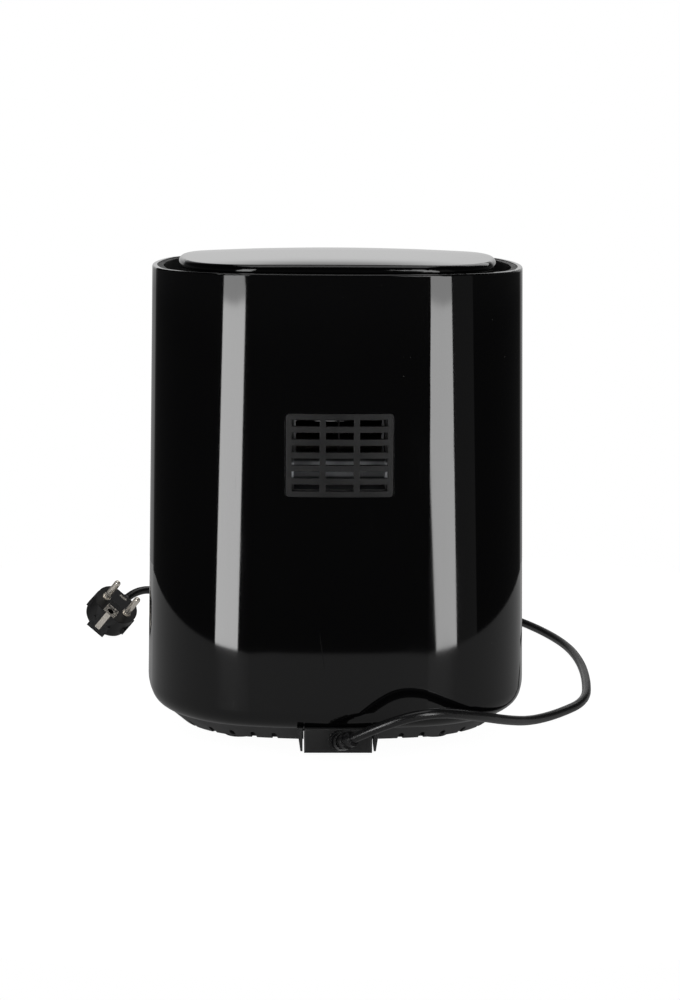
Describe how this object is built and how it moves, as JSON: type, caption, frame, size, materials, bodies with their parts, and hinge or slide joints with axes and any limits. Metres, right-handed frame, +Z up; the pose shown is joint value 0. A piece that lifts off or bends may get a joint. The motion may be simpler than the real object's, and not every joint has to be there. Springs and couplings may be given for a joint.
{
  "type": "air fryer",
  "caption": "Basket air fryer: tapered gloss body with a domed top cover, pull-out drawer with a crisper plate, control dials, rear air grille and a corded plug.",
  "frame": {"origin": "middle of the plan of the body with its handle, on the surface that the feet stand on", "axes": "+Z up, -Y towards the front with the drawer and dials, +Y towards the back with the grille and the lead"},
  "size_m": [0.3596, 0.4884, 0.2969],
  "materials": {
    "gloss_black": "polished black moulding with fine wipe marks",
    "matte_black": "black moulding with a fine spark texture",
    "rubber_feet": "soft black rubber",
    "zinc_steel": "zinc-plated steel",
    "grille_grey": "dark grey textured moulding",
    "sheet_steel": "galvanised sheet",
    "soft_black": "satin black soft PVC",
    "coated_metal": "dark non-stick coating",
    "bright_trim": "bright plated trim",
    "silicone": "dark grey silicone",
    "lamp_amber": "clear amber lens",
    "heater_sheath": "heat-darkened steel sheath",
    "plated_wire": "nickel-plated wire",
    "fan_aluminium": "plain pressed aluminium",
    "motor_iron": "varnished iron sheets",
    "coil_tape": "yellow winding tape",
    "control_grey": "grey phenolic moulding",
    "plated_contacts": "nickel-plated brass"
  },
  "bodies": {
    "housing": {"outer_housing": "gloss_black", "top_deck": "matte_black", "top_cover": "gloss_black", "base_cover": "matte_black", "feet": "rubber_feet", "foot_screws": "zinc_steel", "rear_grille": "grille_grey", "exhaust_duct": "sheet_steel", "cord_outlet": "matte_black", "strain_relief": "soft_black", "power_cord": "soft_black", "chamber": "sheet_steel", "chamber_rails": "sheet_steel", "drawer_frame": "matte_black", "control_panel": "gloss_black", "indicator_lamps": "lamp_amber", "heat_shield": "sheet_steel", "heating_element": "heater_sheath", "element_straps": "sheet_steel", "element_guard": "plated_wire", "motor_core": "motor_iron", "motor_coil": "coil_tape", "bearing_bridges": "fan_aluminium", "motor_bracket": "sheet_steel", "temperature_control": "control_grey", "timer_control": "control_grey", "plug_body": "soft_black", "plug_arm": "soft_black", "plug_pins": "plated_contacts", "plug_earth_contacts": "plated_contacts"},
    "fan_rotor": {"motor_shaft": "zinc_steel", "motor_rotor": "motor_iron", "hot_air_fan": "fan_aluminium", "cooling_fan": "fan_aluminium", "fan_nut": "zinc_steel"},
    "drawer": {"pan": "coated_metal", "drawer_front": "gloss_black", "drawer_bracket": "matte_black", "handle": "matte_black", "handle_trim": "bright_trim", "handle_bolts": "zinc_steel"},
    "crisper": {"crisper_plate": "coated_metal", "plate_bumpers": "silicone"},
    "temperature_dial": {"temperature_knob": "matte_black", "temperature_knob_ring": "bright_trim", "temperature_shaft": "zinc_steel"},
    "timer_dial": {"timer_knob": "matte_black", "timer_knob_ring": "bright_trim", "timer_shaft": "zinc_steel"}
  },
  "joints": [
    {"name": "fan_spin", "type": "hinge", "parent": "housing", "child": "fan_rotor", "pos_m": [0, 0.022, 0.2], "axis": [0, 0, 1], "continuous": true},
    {"name": "drawer_slide", "type": "slide", "parent": "housing", "child": "drawer", "axis": [0, -1, 0], "range_m": [0, 0.205]},
    {"name": "crisper_lift", "type": "slide", "parent": "drawer", "child": "crisper", "axis": [0, 0, 1], "range_m": [0, 0.09]},
    {"name": "temperature_turn", "type": "hinge", "parent": "housing", "child": "temperature_dial", "pos_m": [0, -0.1, 0.253], "axis": [0, 1, 0], "range_deg": [0, 270]},
    {"name": "timer_turn", "type": "hinge", "parent": "housing", "child": "timer_dial", "pos_m": [0, -0.1, 0.202], "axis": [0, 1, 0], "range_deg": [0, 330]}
  ]
}
